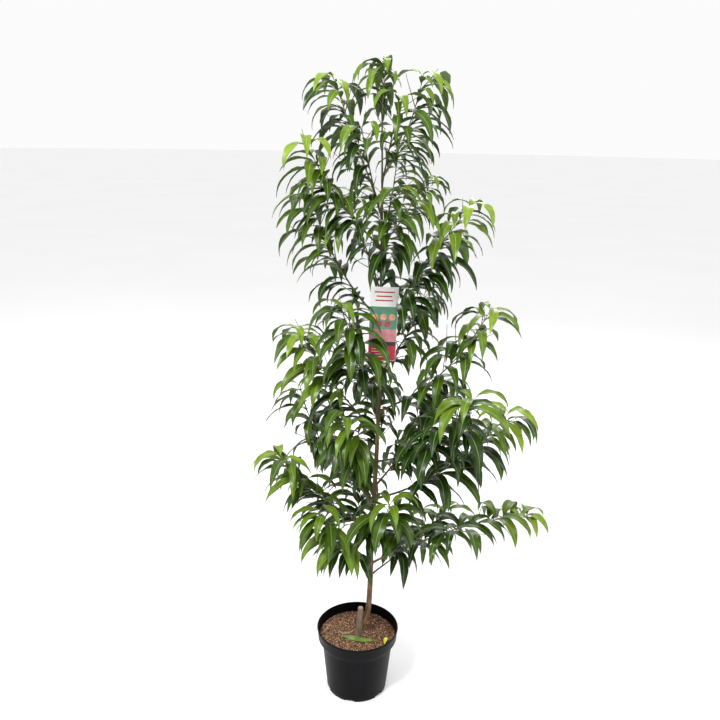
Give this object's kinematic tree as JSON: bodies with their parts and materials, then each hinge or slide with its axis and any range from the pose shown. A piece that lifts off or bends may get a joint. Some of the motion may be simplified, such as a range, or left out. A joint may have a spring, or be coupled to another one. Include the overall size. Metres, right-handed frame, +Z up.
{
  "type": "potted peach-type fruit tree",
  "caption": "Young grafted fruit tree with drooping lance-shaped leaves on upswept boughs, standing in a round black nursery pot of bark compost with a hanging name card.",
  "frame": {"origin": "centre of the pot's flat underside", "axes": "+Z up along the trunk, +X to the right of the tree's front, -Y towards its front"},
  "size_m": [0.8444, 0.5832, 1.7838],
  "materials": {
    "pot": "satin black moulded plastic",
    "soil": "coarse damp bark compost",
    "bark": "smooth young bark, brown below and olive green above",
    "foliage": "glossy mid to dark green leaves, yellow-green when young",
    "card": "printed card with plain colour blocks",
    "strap": "dark green strap"
  },
  "bodies": {
    "root": {"pot": "pot", "soil": "soil", "trunk": "bark", "bough_01": "bark", "bough_02": "bark", "bough_03": "bark", "bough_04": "bark", "bough_05": "bark", "bough_06": "bark", "bough_07": "bark", "bough_08": "bark", "bough_09": "bark", "bough_10": "bark", "bough_11": "bark", "bough_12": "bark", "bough_13": "bark", "bough_14": "bark", "bough_15": "bark", "bough_16": "bark", "bough_17": "bark", "bough_18": "bark", "bough_19": "bark", "bough_21": "bark", "bough_22": "bark", "bough_24": "bark", "foliage_01": "foliage", "foliage_02": "foliage", "foliage_03": "foliage", "foliage_04": "foliage", "foliage_05": "foliage", "foliage_06": "foliage", "foliage_07": "foliage", "foliage_08": "foliage", "foliage_09": "foliage", "foliage_10": "foliage", "foliage_11": "foliage", "foliage_12": "foliage", "foliage_13": "foliage", "foliage_14": "foliage", "foliage_15": "foliage", "foliage_16": "foliage", "foliage_17": "foliage", "foliage_18": "foliage", "foliage_19": "foliage", "foliage_20": "foliage", "foliage_21": "foliage", "foliage_22": "foliage", "foliage_23": "foliage", "foliage_24": "foliage", "foliage_25": "foliage", "foliage_26": "foliage", "foliage_27": "foliage", "foliage_28": "foliage", "foliage_29": "foliage", "foliage_top": "foliage", "label_card": "card", "label_strap": "strap"}
  },
  "joints": []
}
